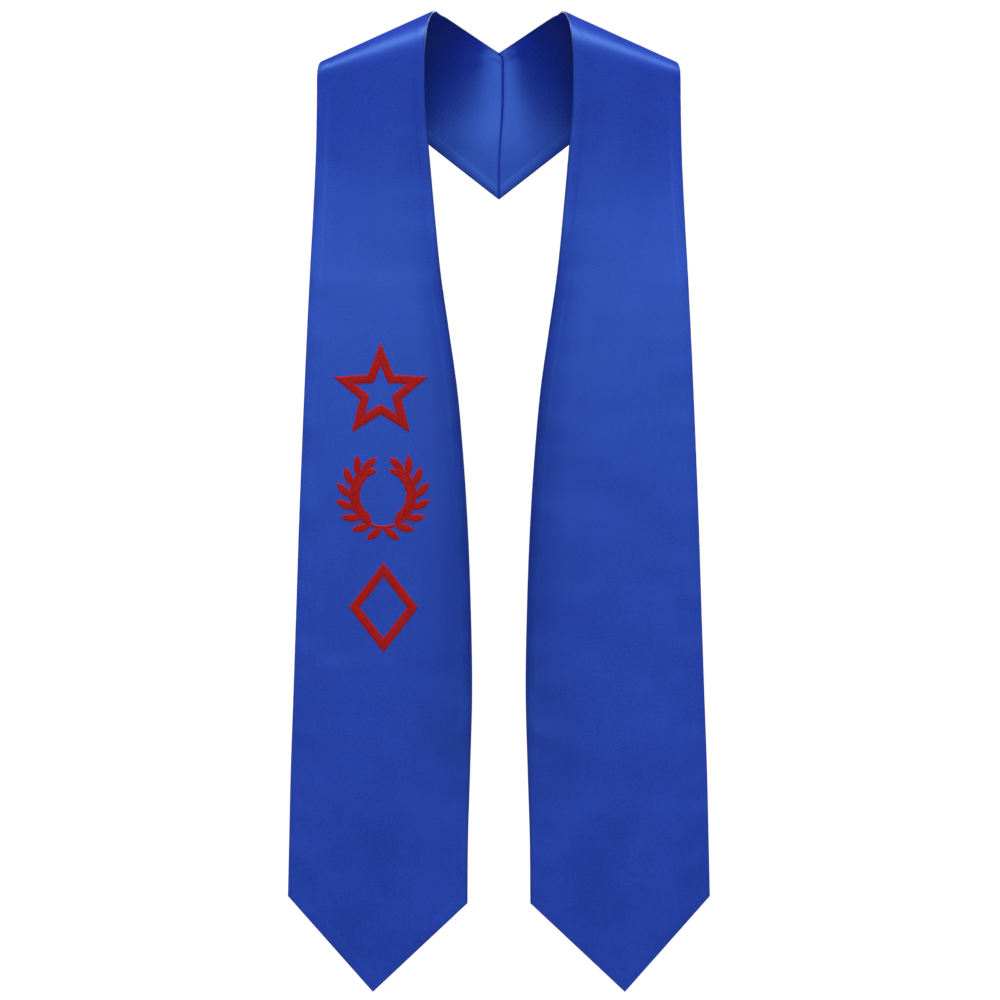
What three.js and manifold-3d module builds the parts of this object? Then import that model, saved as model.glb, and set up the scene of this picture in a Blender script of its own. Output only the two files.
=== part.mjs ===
// A graduation stole in its worn form. Two tapering satin bands hang down the chest, turn over
// the shoulders and meet in one seam at the nape, where both edges run down to a V.
// Each band is two layers of satin, a face and a lining, sewn edge to edge.
// Millimetres, +Z up, and the front faces -Y. The mirror plane is X = 0, and the wearer's right is -X.
// The origin lies on the axis of the neck, level with the top of the nape seam.

import * as THREE from "three";
import { mergeVertices } from "three/addons/utils/BufferGeometryUtils.js";
import Module from "manifold-3d";

// The cloth: one layer of satin with its share of the interfacing, and the gaps between layers.
const CLOTH = 1.0;
const LAYER_GAP = 0.3;
const SEAM_GAP = 0.3;

// The shoulder ridge, the highest line of the bend on each side.
const RIDGE_HALF_SPAN = 144.5; // from the mirror plane to its outer end
const NECK_HALF_WIDTH = 50.9; // from the mirror plane to its end at the neck
const NECK_RISE = 27.4; // its neck end above the top of the nape seam
const RIDGE_SLOPE_RISE = 42.0; // its neck end above its outer end

// The bend over the shoulder, between the ridge and the hanging panel.
const BEND_DEPTH_OUTER = 9;
const BEND_DEPTH_NECK = 28;
const BEND_DROP_OUTER = 14;
const BEND_DROP_NECK = 39;

// The nape, where the two bands are sewn together.
const NAPE_DEPTH = 56; // the top of the seam behind the ridge
const NAPE_LEAN = 5; // how much further back the seam's lower end lies
const NAPE_FALL = 121.3; // height of the seam
const NAPE_ARCH = 2.8; // how far the edges rise above straight lines, half-way from ridge to seam

// The panel that hangs in front.
const CHEST_HALF_SPAN = 147.8; // from the mirror plane to the outer edge, just under the bend
const CHEST_HALF_GAP = 59.9; // and to the inner edge
const FOOT_HALF_SPAN = 170.9; // the same at the corners of the foot
const FOOT_HALF_GAP = 25.4;
const PANEL_DEPTH = 18; // the hanging plane in front of the ridge
const FRONT_FALL = 662.7; // from the bend down to the outer corner of the foot
const POINT_DROP = 75; // from the corners of the foot down to the point
const POINT_PLACE = 0.473; // where the point lies, as a share of the way from the outer edge

// Sections of the hanging panel, from the bend to the foot. Every entry is a share:
// down     of FRONT_FALL, at the outer edge
// outer    of the way from CHEST_HALF_SPAN to FOOT_HALF_SPAN
// inner    of the way from CHEST_HALF_GAP to FOOT_HALF_GAP
// tilt     of the slope that the first section takes from the bend
// settle   of the way from the depth of the bend to PANEL_DEPTH
// point    of POINT_DROP
const PANEL_SECTIONS = [
  { down: 0.0, outer: 0.0, inner: 0.0, tilt: 1.0, settle: 0.0, point: 0.0 },
  { down: 0.05, outer: 0.01, inner: 0.01, tilt: 0.62, settle: 0.18, point: 0.0 },
  { down: 0.1, outer: 0.043, inner: 0.105, tilt: 0.3, settle: 0.47, point: 0.0 },
  { down: 0.17, outer: 0.13, inner: 0.235, tilt: 0.08, settle: 0.83, point: 0.0 },
  { down: 0.24, outer: 0.235, inner: 0.375, tilt: 0.0, settle: 1.0, point: 0.0 },
  { down: 0.31, outer: 0.335, inner: 0.57, tilt: 0.0, settle: 1.0, point: 0.0 },
  { down: 0.38, outer: 0.425, inner: 0.76, tilt: 0.0, settle: 1.0, point: 0.0 },
  { down: 0.46, outer: 0.52, inner: 0.9, tilt: 0.0, settle: 1.0, point: 0.0 },
  { down: 0.55, outer: 0.62, inner: 1.01, tilt: 0.0, settle: 1.0, point: 0.0 },
  { down: 0.65, outer: 0.71, inner: 1.08, tilt: 0.0, settle: 1.0, point: 0.0 },
  { down: 0.75, outer: 0.805, inner: 1.11, tilt: 0.0, settle: 1.0, point: 0.02 },
  { down: 0.85, outer: 0.905, inner: 1.06, tilt: 0.0, settle: 1.0, point: 0.2 },
  { down: 0.93, outer: 0.957, inner: 1.012, tilt: -0.12, settle: 1.0, point: 0.55 },
  { down: 1.0, outer: 1.0, inner: 1.0, tilt: -0.34, settle: 1.0, point: 1.0 },
];
const BEND_STEPS = 8; // from the hanging panel up to the ridge
const BACK_STEPS = 14; // from the ridge round to the nape seam

// Places across the band, from the outer edge at 0 to the inner edge at 1.
const ACROSS = [0, 1 / 3, 2 / 3, 1].map((share) => share * POINT_PLACE);
ACROSS.push(...[1 / 4, 2 / 4, 3 / 4, 1].map((share) => POINT_PLACE + share * (1 - POINT_PLACE)));

// Three embroidered ornaments in a column on the wearer's right panel.
const STITCH_HEIGHT = 0.8; // how far the embroidery stands off the satin
const STITCH_GAP = 0.3;
const ORNAMENT_HEIGHT = 73;
const ORNAMENT_PITCH = 89; // from one ornament's centre to the next
const COLUMN_DROP = 368.5; // from the origin down to the middle ornament's centre
const STROKE = 7; // width of a broad line of stitches
const STAR_POINTS = 5;
const STAR_WAIST = 0.44; // a star's inner radius, as a share of its outer one
const LOZENGE_WIDTH = 56;
const WREATH_STEM_RADIUS = 26;
const WREATH_STEM_WIDTH = 2.6;
const WREATH_GAP_DEG = 32; // half the opening at the top of the wreath
const WREATH_LEAF_LENGTH = 17;
const WREATH_LEAF_WIDTH = 6.4;
const WREATH_LEAF_TURN_DEG = 37; // a leaf's angle to the stem
const WREATH_LEAF_PAIRS = 6; // along each branch
const WREATH_TIE_TURN_DEG = 52; // the lowest leaves' angle to straight down

const SATIN_BLUE = new THREE.MeshStandardMaterial({ color: 0x2947a8, roughness: 0.42, metalness: 0 });
const LINING_BLUE = new THREE.MeshStandardMaterial({ color: 0x2743a0, roughness: 0.48, metalness: 0 });
const THREAD_RED = new THREE.MeshStandardMaterial({ color: 0x98191a, roughness: 0.55, metalness: 0 });

const { lerp, degToRad } = THREE.MathUtils;
const RIDGE_NECK_Z = NECK_RISE;
const RIDGE_OUTER_Z = NECK_RISE - RIDGE_SLOPE_RISE;
const PANEL_TOP_OUTER_Z = RIDGE_OUTER_Z - BEND_DROP_OUTER;
const PANEL_TOP_TILT = RIDGE_NECK_Z - BEND_DROP_NECK - PANEL_TOP_OUTER_Z;
const HALF_SEAM = SEAM_GAP / 2;

// One cross-section of the hanging panel: its two edge points and how far its middle drops.
// x is the distance from the mirror plane, so the same band serves both sides.
function panelSection({ down, outer, inner, tilt, settle, point }) {
  const z = PANEL_TOP_OUTER_Z - down * FRONT_FALL;
  return {
    outer: new THREE.Vector3(
      lerp(CHEST_HALF_SPAN, FOOT_HALF_SPAN, outer),
      -lerp(BEND_DEPTH_OUTER, PANEL_DEPTH, settle),
      z,
    ),
    inner: new THREE.Vector3(
      lerp(CHEST_HALF_GAP, FOOT_HALF_GAP, inner),
      -lerp(BEND_DEPTH_NECK, PANEL_DEPTH, settle),
      z + tilt * PANEL_TOP_TILT,
    ),
    drop: point * POINT_DROP,
  };
}

// One cross-section of the bend: a quarter of an ellipse from the panel up to the ridge.
function bendSection(step, panelTop, ridge) {
  const turn = (step / BEND_STEPS) * (Math.PI / 2);
  const along = (from, to) =>
    new THREE.Vector3(
      lerp(from.x, to.x, 1 - Math.cos(turn)),
      lerp(from.y, to.y, 1 - Math.cos(turn)),
      lerp(from.z, to.z, Math.sin(turn)),
    );
  return { outer: along(panelTop.outer, ridge.outer), inner: along(panelTop.inner, ridge.inner), drop: 0 };
}

// One cross-section behind the ridge. Seen from above, both edges are quarter ellipses round the neck,
// and seen from the front they are straight but for a slight arch.
function backSection(step) {
  const turn = (step / BACK_STEPS) * (Math.PI / 2);
  const round = (halfWidth, depth, seamZ, ridgeZ) =>
    new THREE.Vector3(
      lerp(HALF_SEAM, halfWidth, Math.cos(turn)),
      depth * Math.sin(turn),
      lerp(seamZ, ridgeZ, Math.cos(turn)) + NAPE_ARCH * Math.sin(2 * turn),
    );
  return {
    outer: round(RIDGE_HALF_SPAN, NAPE_DEPTH + NAPE_LEAN, -NAPE_FALL, RIDGE_OUTER_Z),
    inner: round(NECK_HALF_WIDTH, NAPE_DEPTH, 0, RIDGE_NECK_Z),
    drop: 0,
  };
}

// All cross-sections of one band, from the foot to the nape seam.
function bandSections() {
  const panel = PANEL_SECTIONS.map(panelSection).reverse();
  const ridge = backSection(0);
  const sections = [...panel];
  for (let step = 1; step < BEND_STEPS; step += 1) {
    sections.push(bendSection(step, panel.at(-1), ridge));
  }
  for (let step = 0; step <= BACK_STEPS; step += 1) {
    sections.push(backSection(step));
  }
  return sections;
}

// Half-way across the hanging panel at a height below the bend, as a distance from the mirror plane.
function panelMiddle(z) {
  const down = (PANEL_TOP_OUTER_Z - z) / FRONT_FALL;
  const next = PANEL_SECTIONS.findIndex((section) => section.down >= down);
  const [above, below] = PANEL_SECTIONS.slice(next - 1, next + 1);
  const share = (down - above.down) / (below.down - above.down);
  const outer = lerp(CHEST_HALF_SPAN, FOOT_HALF_SPAN, lerp(above.outer, below.outer, share));
  const inner = lerp(CHEST_HALF_GAP, FOOT_HALF_GAP, lerp(above.inner, below.inner, share));
  return (outer + inner) / 2;
}

// The middle surface of a band as a grid of points, row by row.
function bandGrid() {
  return bandSections().map(({ outer, inner, drop }) =>
    ACROSS.map((share) => {
      const toPoint = share < POINT_PLACE ? share / POINT_PLACE : (1 - share) / (1 - POINT_PLACE);
      const point = outer.clone().lerp(inner, share);
      point.z -= drop * toPoint;
      return point;
    }),
  );
}

// The outward direction at each grid point. On the nape seam it stays in the mirror plane.
function bandNormals(grid) {
  const lastRow = grid.length - 1;
  const lastColumn = ACROSS.length - 1;
  return grid.map((row, i) =>
    row.map((_, j) => {
      const along = grid[Math.min(i + 1, lastRow)][j].clone().sub(grid[Math.max(i - 1, 0)][j]);
      const across = row[Math.min(j + 1, lastColumn)].clone().sub(row[Math.max(j - 1, 0)]);
      const normal = along.cross(across);
      if (i === lastRow) normal.x = 0;
      return normal.normalize();
    }),
  );
}

// One layer of cloth as a closed body, between two distances from the middle surface.
// side is -1 for the wearer's right band and 1 for the left.
function layerGeometry(side, near, far) {
  const grid = bandGrid();
  const normals = bandNormals(grid);
  const rows = grid.length;
  const columns = ACROSS.length;
  const positions = [];
  for (const distance of [near, far]) {
    grid.forEach((row, i) =>
      row.forEach((point, j) => {
        const moved = point.clone().addScaledVector(normals[i][j], distance);
        positions.push(side * moved.x, moved.y, moved.z);
      }),
    );
  }
  const faces = [];
  const quad = (a, b, c, d) => faces.push([a, b, c], [a, c, d]);
  const index = (i, j, layer) => layer * rows * columns + i * columns + j;
  for (let i = 0; i + 1 < rows; i += 1) {
    for (let j = 0; j + 1 < columns; j += 1) {
      quad(index(i, j, 0), index(i, j + 1, 0), index(i + 1, j + 1, 0), index(i + 1, j, 0));
      quad(index(i, j, 1), index(i + 1, j, 1), index(i + 1, j + 1, 1), index(i, j + 1, 1));
    }
    const j = columns - 1;
    quad(index(i, 0, 0), index(i + 1, 0, 0), index(i + 1, 0, 1), index(i, 0, 1));
    quad(index(i, j, 0), index(i, j, 1), index(i + 1, j, 1), index(i + 1, j, 0));
  }
  for (let j = 0; j + 1 < columns; j += 1) {
    const i = rows - 1;
    quad(index(0, j, 0), index(0, j, 1), index(0, j + 1, 1), index(0, j + 1, 0));
    quad(index(i, j, 0), index(i, j + 1, 0), index(i, j + 1, 1), index(i, j, 1));
  }
  const geometry = new THREE.BufferGeometry();
  geometry.setAttribute("position", new THREE.Float32BufferAttribute(positions, 3));
  geometry.setIndex(faces.flatMap(([a, b, c]) => (side > 0 ? [a, b, c] : [a, c, b])));
  geometry.computeVertexNormals();
  return geometry;
}

// A closed outline with as many corners as there are radii, the first one pointing up.
function cornerOutline(radii) {
  return radii.map((radius, corner) => {
    const angle = Math.PI / 2 + (corner / radii.length) * 2 * Math.PI;
    return new THREE.Vector2(radius * Math.cos(angle), radius * Math.sin(angle));
  });
}

// An outline drawn with one broad line of stitches. Every side lies equally far from the centre,
// so a smaller copy of the outline, cut out of the middle, leaves the same width all round.
function ringShape(outline) {
  const [first, second] = outline;
  const sideDistance = Math.abs(first.cross(second)) / first.distanceTo(second);
  const innerScale = 1 - STROKE / sideDistance;
  const shape = new THREE.Shape(outline);
  shape.holes.push(new THREE.Path(outline.map((point) => point.clone().multiplyScalar(innerScale))));
  return shape;
}

// A five-pointed star, as high as an ornament is.
function starShape() {
  const tipRadius = ORNAMENT_HEIGHT / (1 + Math.cos(Math.PI / STAR_POINTS));
  const radii = Array.from({ length: STAR_POINTS }, () => [tipRadius, tipRadius * STAR_WAIST]).flat();
  return ringShape(cornerOutline(radii));
}

// A lozenge.
function lozengeShape() {
  const halfHeight = ORNAMENT_HEIGHT / 2;
  const halfWidth = LOZENGE_WIDTH / 2;
  return ringShape(cornerOutline([halfHeight, halfWidth, halfHeight, halfWidth]));
}

// One leaf, pointed at both ends, with its foot at the origin and its tip on the X axis.
function leafShape() {
  const shape = new THREE.Shape();
  shape.quadraticCurveTo(WREATH_LEAF_LENGTH / 2, WREATH_LEAF_WIDTH, WREATH_LEAF_LENGTH, 0);
  shape.quadraticCurveTo(WREATH_LEAF_LENGTH / 2, -WREATH_LEAF_WIDTH, 0, 0);
  return shape;
}

// The two stems of the wreath: one ring, open at the top.
function stemShape() {
  const start = Math.PI / 2 + degToRad(WREATH_GAP_DEG);
  const end = Math.PI / 2 - degToRad(WREATH_GAP_DEG) + 2 * Math.PI;
  const shape = new THREE.Shape();
  shape.absarc(0, 0, WREATH_STEM_RADIUS + WREATH_STEM_WIDTH / 2, start, end, false);
  shape.absarc(0, 0, WREATH_STEM_RADIUS - WREATH_STEM_WIDTH / 2, end, start, true);
  return shape;
}

const wasm = await Module();
wasm.setup();

// A flat shape as thick as the embroidery, with its back on Z = 0.
function stitchedPlate(shape, curveSegments = 10) {
  return new THREE.ExtrudeGeometry(shape, { depth: STITCH_HEIGHT, bevelEnabled: false, curveSegments });
}

function toSolid(geometry) {
  const bare = geometry.clone();
  bare.deleteAttribute("normal");
  bare.deleteAttribute("uv");
  const merged = mergeVertices(bare, 1e-4);
  return new wasm.Manifold(
    new wasm.Mesh({
      numProp: 3,
      vertProperties: new Float32Array(merged.attributes.position.array),
      triVerts: new Uint32Array(merged.index.array),
    }),
  );
}

function toGeometry(solid) {
  const { vertProperties, triVerts } = solid.getMesh();
  const geometry = new THREE.BufferGeometry();
  geometry.setAttribute("position", new THREE.BufferAttribute(vertProperties, 3));
  geometry.setIndex(new THREE.BufferAttribute(triVerts, 1));
  geometry.computeVertexNormals();
  return geometry;
}

// An open laurel wreath: leaves in pairs along both stems, and one more at each stem's tip and foot.
function wreathGeometry() {
  let solid = toSolid(stitchedPlate(stemShape(), 24));
  const leaf = stitchedPlate(leafShape(), 5);
  const addLeaf = (angle, turn) => {
    const placed = leaf.clone().rotateZ(turn);
    placed.translate(WREATH_STEM_RADIUS * Math.cos(angle), WREATH_STEM_RADIUS * Math.sin(angle), 0);
    solid = solid.add(toSolid(placed));
  };
  const sweep = Math.PI - degToRad(WREATH_GAP_DEG);
  for (const branch of [-1, 1]) {
    for (let pair = 1; pair <= WREATH_LEAF_PAIRS; pair += 1) {
      const angle = -Math.PI / 2 + branch * sweep * (pair / (WREATH_LEAF_PAIRS + 1));
      const growth = angle + (branch * Math.PI) / 2;
      addLeaf(angle, growth - degToRad(WREATH_LEAF_TURN_DEG));
      addLeaf(angle, growth + degToRad(WREATH_LEAF_TURN_DEG));
    }
    const tip = -Math.PI / 2 + branch * sweep * (1 - 0.5 / (WREATH_LEAF_PAIRS + 1));
    addLeaf(tip, tip + (branch * Math.PI) / 2);
    addLeaf(-Math.PI / 2, -Math.PI / 2 + branch * degToRad(WREATH_TIE_TURN_DEG));
  }
  return toGeometry(solid);
}

const stole = new THREE.Group();

function addMesh(parent, name, geometry, material) {
  const mesh = new THREE.Mesh(geometry, material);
  mesh.name = name;
  parent.add(mesh);
  return mesh;
}

const FACE_NEAR = LAYER_GAP / 2;
for (const [sideName, side] of [["right", -1], ["left", 1]]) {
  addMesh(stole, `${sideName}_face`, layerGeometry(side, FACE_NEAR, FACE_NEAR + CLOTH), SATIN_BLUE);
  addMesh(stole, `${sideName}_lining`, layerGeometry(side, -FACE_NEAR - CLOTH, -FACE_NEAR), LINING_BLUE);
}

// The column stands on the hanging plane of the right panel, its plates facing forwards.
const ornaments = new THREE.Group();
ornaments.position.y = -PANEL_DEPTH - FACE_NEAR - CLOTH - STITCH_GAP;
ornaments.rotation.x = Math.PI / 2;
stole.add(ornaments);

// Adds an ornament, centred across the panel. place counts upwards from the middle of the column.
function addOrnament(name, geometry, place) {
  const centreZ = place * ORNAMENT_PITCH - COLUMN_DROP;
  geometry.center().translate(0, 0, STITCH_HEIGHT / 2);
  addMesh(ornaments, name, geometry, THREAD_RED).position.set(-panelMiddle(centreZ), centreZ, 0);
}
addOrnament("star_embroidery", stitchedPlate(starShape()), 1);
addOrnament("wreath_embroidery", wreathGeometry(), 0);
addOrnament("lozenge_embroidery", stitchedPlate(lozengeShape()), -1);

export default stole;
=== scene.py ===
# %% [markdown]
# # A graduation stole in royal blue satin
#
# The real stole is two long bands of satin. Each band is cut twice, once as the face and once as
# the lining. The two cuts are sewn together edge to edge, turned right side out and pressed, and
# then the two bands are joined in one short seam at the nape. One band carries a column of
# embroidered ornaments.
#
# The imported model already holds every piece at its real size, as plain walls. This lesson dresses
# it: it cuts a fine sheet for each layer of satin, lays the sheets on the same form, stitches the
# ornaments, and sets a plain studio around them.

# %% Load the frame
import math

import bmesh
import bpy
import numpy as np
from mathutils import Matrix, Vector


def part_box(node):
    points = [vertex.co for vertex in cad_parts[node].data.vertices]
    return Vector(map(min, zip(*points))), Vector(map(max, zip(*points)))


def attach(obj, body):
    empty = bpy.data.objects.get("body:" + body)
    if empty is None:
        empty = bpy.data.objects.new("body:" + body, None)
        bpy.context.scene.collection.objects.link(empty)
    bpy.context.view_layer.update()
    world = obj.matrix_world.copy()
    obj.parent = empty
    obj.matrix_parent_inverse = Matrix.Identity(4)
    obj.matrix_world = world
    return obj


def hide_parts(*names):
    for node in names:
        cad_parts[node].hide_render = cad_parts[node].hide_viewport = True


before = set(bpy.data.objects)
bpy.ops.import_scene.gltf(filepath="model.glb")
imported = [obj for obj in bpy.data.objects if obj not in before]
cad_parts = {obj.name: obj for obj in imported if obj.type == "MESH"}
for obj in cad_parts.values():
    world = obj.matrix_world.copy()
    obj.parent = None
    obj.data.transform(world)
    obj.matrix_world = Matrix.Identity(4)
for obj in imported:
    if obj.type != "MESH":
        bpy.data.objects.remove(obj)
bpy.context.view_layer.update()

print("nodes:", ", ".join(sorted(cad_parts)))

# %% [markdown]
# ## The form that the cloth lies on
#
# A worn stole could be found by simulating cloth on a body, but its form is simple and well
# known, so it is written down directly, with the same sizes as the solid model. A band is a row
# of straight lines across the cloth. Each line has an outer and an inner end. It starts at the
# foot, climbs the chest, goes over the shoulder ridge and swings round the neck to the nape.

# %% Named sizes of the worn form
MM = 0.001

RIDGE_HALF_SPAN = 144.5 * MM
NECK_HALF_WIDTH = 50.9 * MM
NECK_RISE = 27.4 * MM
RIDGE_SLOPE_RISE = 42.0 * MM
BEND_DEPTH_OUTER = 9 * MM
BEND_DEPTH_NECK = 28 * MM
BEND_DROP_OUTER = 14 * MM
BEND_DROP_NECK = 39 * MM
NAPE_DEPTH = 56 * MM
NAPE_LEAN = 5 * MM
NAPE_FALL = 121.3 * MM
NAPE_ARCH = 2.8 * MM
CHEST_HALF_SPAN = 147.8 * MM
CHEST_HALF_GAP = 59.9 * MM
FOOT_HALF_SPAN = 170.9 * MM
FOOT_HALF_GAP = 25.4 * MM
PANEL_DEPTH = 18 * MM
FRONT_FALL = 662.7 * MM
POINT_DROP = 75 * MM
POINT_PLACE = 0.473

RIDGE_OUTER_Z = NECK_RISE - RIDGE_SLOPE_RISE
PANEL_TOP_OUTER_Z = RIDGE_OUTER_Z - BEND_DROP_OUTER
PANEL_TOP_TILT = NECK_RISE - BEND_DROP_NECK - PANEL_TOP_OUTER_Z

# Sections of the hanging panel, as shares of the sizes above, from the bend down to the foot.
SECTION = ("down", "outer", "inner", "tilt", "settle", "point")
PANEL_SECTIONS = np.array([
    (0.00, 0.000, 0.000, 1.00, 0.00, 0.00),
    (0.05, 0.010, 0.010, 0.62, 0.18, 0.00),
    (0.10, 0.043, 0.105, 0.30, 0.47, 0.00),
    (0.17, 0.130, 0.235, 0.08, 0.83, 0.00),
    (0.24, 0.235, 0.375, 0.00, 1.00, 0.00),
    (0.31, 0.335, 0.570, 0.00, 1.00, 0.00),
    (0.38, 0.425, 0.760, 0.00, 1.00, 0.00),
    (0.46, 0.520, 0.900, 0.00, 1.00, 0.00),
    (0.55, 0.620, 1.010, 0.00, 1.00, 0.00),
    (0.65, 0.710, 1.080, 0.00, 1.00, 0.00),
    (0.75, 0.805, 1.110, 0.00, 1.00, 0.02),
    (0.85, 0.905, 1.060, 0.00, 1.00, 0.20),
    (0.93, 0.957, 1.012, -0.12, 1.00, 0.55),
    (1.00, 1.000, 1.000, -0.34, 1.00, 1.00),
])
print("panel sections:", len(PANEL_SECTIONS))

# %% [markdown]
# The table has only fourteen rows, and satin shows every kink, so a smooth curve is run through
# each of its columns. A cubic Hermite curve does that with nothing but the slopes of the table.

# %% A smooth curve through one column of the table


def lerp(a, b, share):
    return a + (b - a) * share


def section(name, down):
    """The named column of the table at any places down the panel, level at the bend."""
    places = PANEL_SECTIONS[:, 0]
    values = PANEL_SECTIONS[:, SECTION.index(name)]
    slopes = np.gradient(values, places)
    slopes[0] = 0.0
    k = np.clip(np.searchsorted(places, down) - 1, 0, len(places) - 2)
    span = places[k + 1] - places[k]
    s = (down - places[k]) / span
    rise = s * s * (3 - 2 * s)
    lean_in = s * (1 - s) ** 2 * span * slopes[k]
    lean_out = s * s * (s - 1) * span * slopes[k + 1]
    return lerp(values[k], values[k + 1], rise) + lean_in + lean_out


print("half-gap half-way down:", round(float(section("inner", np.array([0.5]))[0]), 3))

# %% [markdown]
# Three functions give the ends of the lines across the band: on the hanging panel, on the bend
# up to the ridge, and behind the ridge. Distances from the mirror plane are kept positive, so
# that one form serves both sides. Over the last few rows the lines keep the full slant of the
# foot, so that they run parallel to its cut edges.

# %% The ends of the lines across the band
FOOT_MARGIN = 16 * MM


def panel_lines(down):
    """Outer ends, inner ends and the drop of the middle, for places down the panel."""
    z = PANEL_TOP_OUTER_Z - down * FRONT_FALL
    settle = section("settle", down)
    outer = np.stack([
        lerp(CHEST_HALF_SPAN, FOOT_HALF_SPAN, section("outer", down)),
        -lerp(BEND_DEPTH_OUTER, PANEL_DEPTH, settle),
        z,
    ], axis=-1)
    inner = np.stack([
        lerp(CHEST_HALF_GAP, FOOT_HALF_GAP, section("inner", down)),
        -lerp(BEND_DEPTH_NECK, PANEL_DEPTH, settle),
        z + section("tilt", down) * PANEL_TOP_TILT,
    ], axis=-1)
    near_foot = np.minimum(down + FOOT_MARGIN / FRONT_FALL, 1.0)
    return outer, inner, section("point", near_foot) * POINT_DROP


def back_lines(turn):
    """The same behind the ridge, for turns from 0 at the ridge to a right angle at the nape."""
    def edge(half_width, depth, seam_z, ridge_z):
        arch = NAPE_ARCH * np.sin(2 * turn)
        return np.stack([
            half_width * np.cos(turn),
            depth * np.sin(turn),
            lerp(seam_z, ridge_z, np.cos(turn)) + arch,
        ], axis=-1)

    outer = edge(RIDGE_HALF_SPAN, NAPE_DEPTH + NAPE_LEAN, -NAPE_FALL, RIDGE_OUTER_Z)
    inner = edge(NECK_HALF_WIDTH, NAPE_DEPTH, 0.0, NECK_RISE)
    return outer, inner, np.zeros_like(turn)


def bend_lines(turn):
    """The same between the panel and the ridge, along a quarter of an ellipse."""
    low = panel_lines(np.array([0.0]))
    high = back_lines(np.array([0.0]))

    def climb(start, end):
        flat = lerp(start, end, (1 - np.cos(turn))[:, None])
        flat[:, 2] = lerp(start[0, 2], end[0, 2], np.sin(turn))
        return flat

    return climb(low[0], high[0]), climb(low[1], high[1]), np.zeros_like(turn)


print("ridge from", np.round(bend_lines(np.array([math.pi / 2]))[0][0] / MM, 1))

# %% [markdown]
# ## Where the sheet gets its rows and columns
#
# A sewn edge is a tiny roll about a millimetre high, while the middle of a panel is almost flat.
# An even grid fine enough for the roll would be huge, so the columns are crowded at both edges,
# and the rows at the foot and at the nape seam. One column always runs through the point.

# %% Rows and columns of the cut
ROLL_STEPS = np.array([0.0, 0.05, 0.2, 0.45, 0.8, 1.3, 2.0, 3.2, 5.0, 7.0, 8.0, 9.0, 11.0]) * MM
OUTER_COLUMNS = 20
INNER_COLUMNS = 22
PANEL_ROW = 3.2 * MM
BEND_ROWS = 18
BACK_ROWS = 52
FOOT_WIDTH = FOOT_HALF_SPAN - FOOT_HALF_GAP
FOOT_SLOPE = math.atan2(POINT_DROP, POINT_PLACE * FOOT_WIDTH)


def band_lines():
    """All lines across one band, from the foot to the nape seam."""
    foot = 1 - ROLL_STEPS / math.cos(FOOT_SLOPE) / FRONT_FALL
    panel_rows = round(FRONT_FALL / PANEL_ROW)
    down = np.concatenate([foot, np.linspace(foot[-1], 0, panel_rows)[1:]])
    bend = np.linspace(0, math.pi / 2, BEND_ROWS + 2)[1:-1]
    nape = math.pi / 2 - ROLL_STEPS[::-1] / RIDGE_HALF_SPAN
    back = np.concatenate([np.linspace(0, nape[0], BACK_ROWS)[:-1], nape])
    parts = [panel_lines(down), bend_lines(bend), back_lines(back)]
    return [np.concatenate(column) for column in zip(*parts)]


def across_shares(width):
    """Places across a line of the given width, from the outer end at 0 to the inner end at 1."""
    edge = ROLL_STEPS / width
    to_point = np.linspace(edge[-1], POINT_PLACE, OUTER_COLUMNS)[1:]
    from_point = np.linspace(POINT_PLACE, 1 - edge[-1], INNER_COLUMNS)[1:-1]
    return np.concatenate([edge, to_point, from_point, 1 - edge[::-1]])


LINES = band_lines()
print("rows:", len(LINES[2]), "columns:", len(across_shares(FOOT_WIDTH)))

# %% [markdown]
# The grid of points follows from the lines. With it come two measures that the cloth needs: how
# far each point lies from the nearest sewn edge, and the direction that points out of the cloth.

# %% The band as a grid of points


def band_grid():
    """Points and shares across, with one row for each line."""
    outer, inner, drop = LINES
    widths = np.linalg.norm(inner - outer, axis=1)
    shares = np.array([across_shares(width) for width in widths])
    points = lerp(outer[:, None], inner[:, None], shares[..., None])
    to_point = np.minimum(shares / POINT_PLACE, (1 - shares) / (1 - POINT_PLACE))
    points[..., 2] -= drop[:, None] * to_point
    return points, shares, widths


def foot_distance(points, shares):
    """How far each point lies from the two slanting edges of the foot."""
    tip = points[0, shares[0].searchsorted(POINT_PLACE)]
    distance = np.full(shares.shape, np.inf)
    sides = ((points[0, 0], shares <= POINT_PLACE), (points[0, -1], shares > POINT_PLACE))
    for corner, mine in sides:
        edge = (tip - corner)[[0, 2]]
        edge /= np.linalg.norm(edge)
        away = (points - corner)[..., [0, 2]]
        reach = np.abs(away[..., 0] * edge[1] - away[..., 1] * edge[0])
        distance = np.where(mine, reach, distance)
    return distance


def outward(points):
    """Unit directions out of the cloth, level across the mirror plane at the nape seam."""
    along = np.gradient(points, axis=0)
    across = np.gradient(points, axis=1)
    normal = np.cross(along, across)
    normal[-1, :, 0] = 0.0
    return normal / np.linalg.norm(normal, axis=-1, keepdims=True)


POINTS, SHARES, WIDTHS = band_grid()
NORMALS = outward(POINTS)
SIDE_DISTANCE = np.minimum(SHARES, 1 - SHARES) * WIDTHS[:, None]
NAPE_DISTANCE = np.where(POINTS[..., 1] > 0, POINTS[..., 0], np.inf)
FOOT_DISTANCE = foot_distance(POINTS, SHARES)
EDGE_DISTANCE = np.minimum(SIDE_DISTANCE, FOOT_DISTANCE)
row_steps = np.linalg.norm(np.diff(POINTS.mean(axis=1), axis=0), axis=1)
ALONG = np.concatenate([[0], row_steps.cumsum()])
print("length of the band along its middle, mm:", round(ALONG[-1] / MM))

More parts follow.
